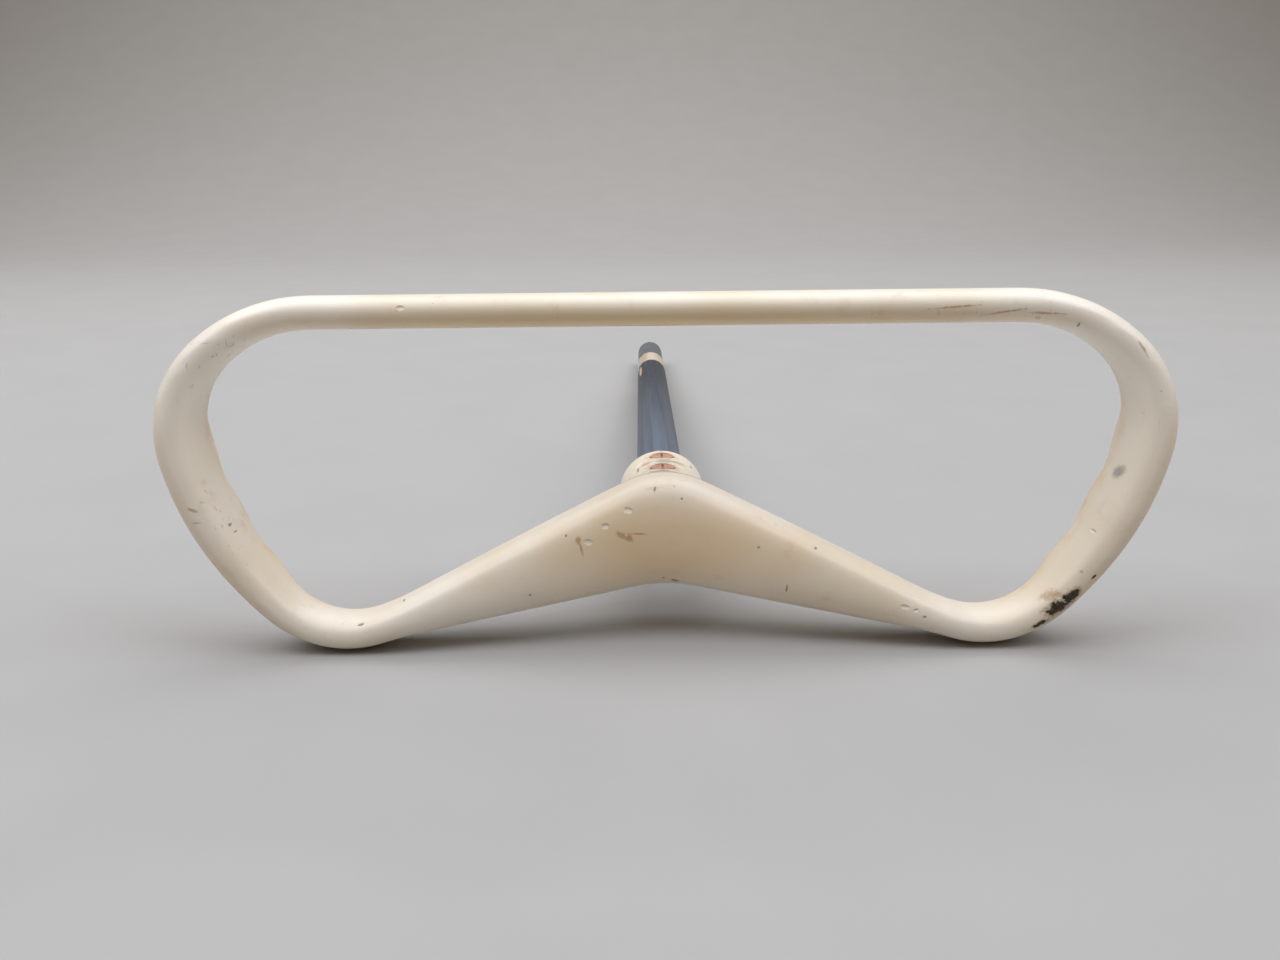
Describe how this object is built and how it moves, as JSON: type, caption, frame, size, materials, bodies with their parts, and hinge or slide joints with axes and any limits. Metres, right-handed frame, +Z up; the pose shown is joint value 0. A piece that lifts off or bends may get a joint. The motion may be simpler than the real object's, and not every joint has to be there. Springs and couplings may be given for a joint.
{
  "type": "aircraft control yoke",
  "caption": "Closed loop aircraft control wheel with finger grips and a V spoke, clamped by a bolted collar to a long straight control tube.",
  "frame": {"origin": "centre of the control tube's open forward end", "axes": "+Y along the control tube, away from the pilot; +X to the pilot's right; +Z up, from the hub towards the wheel's top bar"},
  "size_m": [0.3296, 0.5158, 0.1186],
  "materials": {
    "wheel_cream": "worn semi gloss cream paint over a dark moulding",
    "core_steel": "bare mill steel",
    "collar_cream": "worn semi gloss cream paint",
    "tube_dark": "worn dark blue grey paint with a cream band and a bare forward end",
    "plug_aluminium": "turned",
    "bolt_rust": "rusted steel",
    "fastener_steel": "dull plated steel"
  },
  "bodies": {
    "root": {"wheel_moulding": "wheel_cream", "rim_core_bar": "core_steel", "spoke_plate": "core_steel", "hub_sleeve": "collar_cream", "control_tube": "tube_dark", "tube_plug": "plug_aluminium", "front_clamp_bolt": "bolt_rust", "rear_clamp_bolt": "bolt_rust", "front_bolt_washer": "fastener_steel", "front_castle_nut": "fastener_steel", "front_cotter_pin": "fastener_steel", "rear_bolt_washer": "fastener_steel", "rear_castle_nut": "fastener_steel", "rear_cotter_pin": "fastener_steel"}
  },
  "joints": []
}
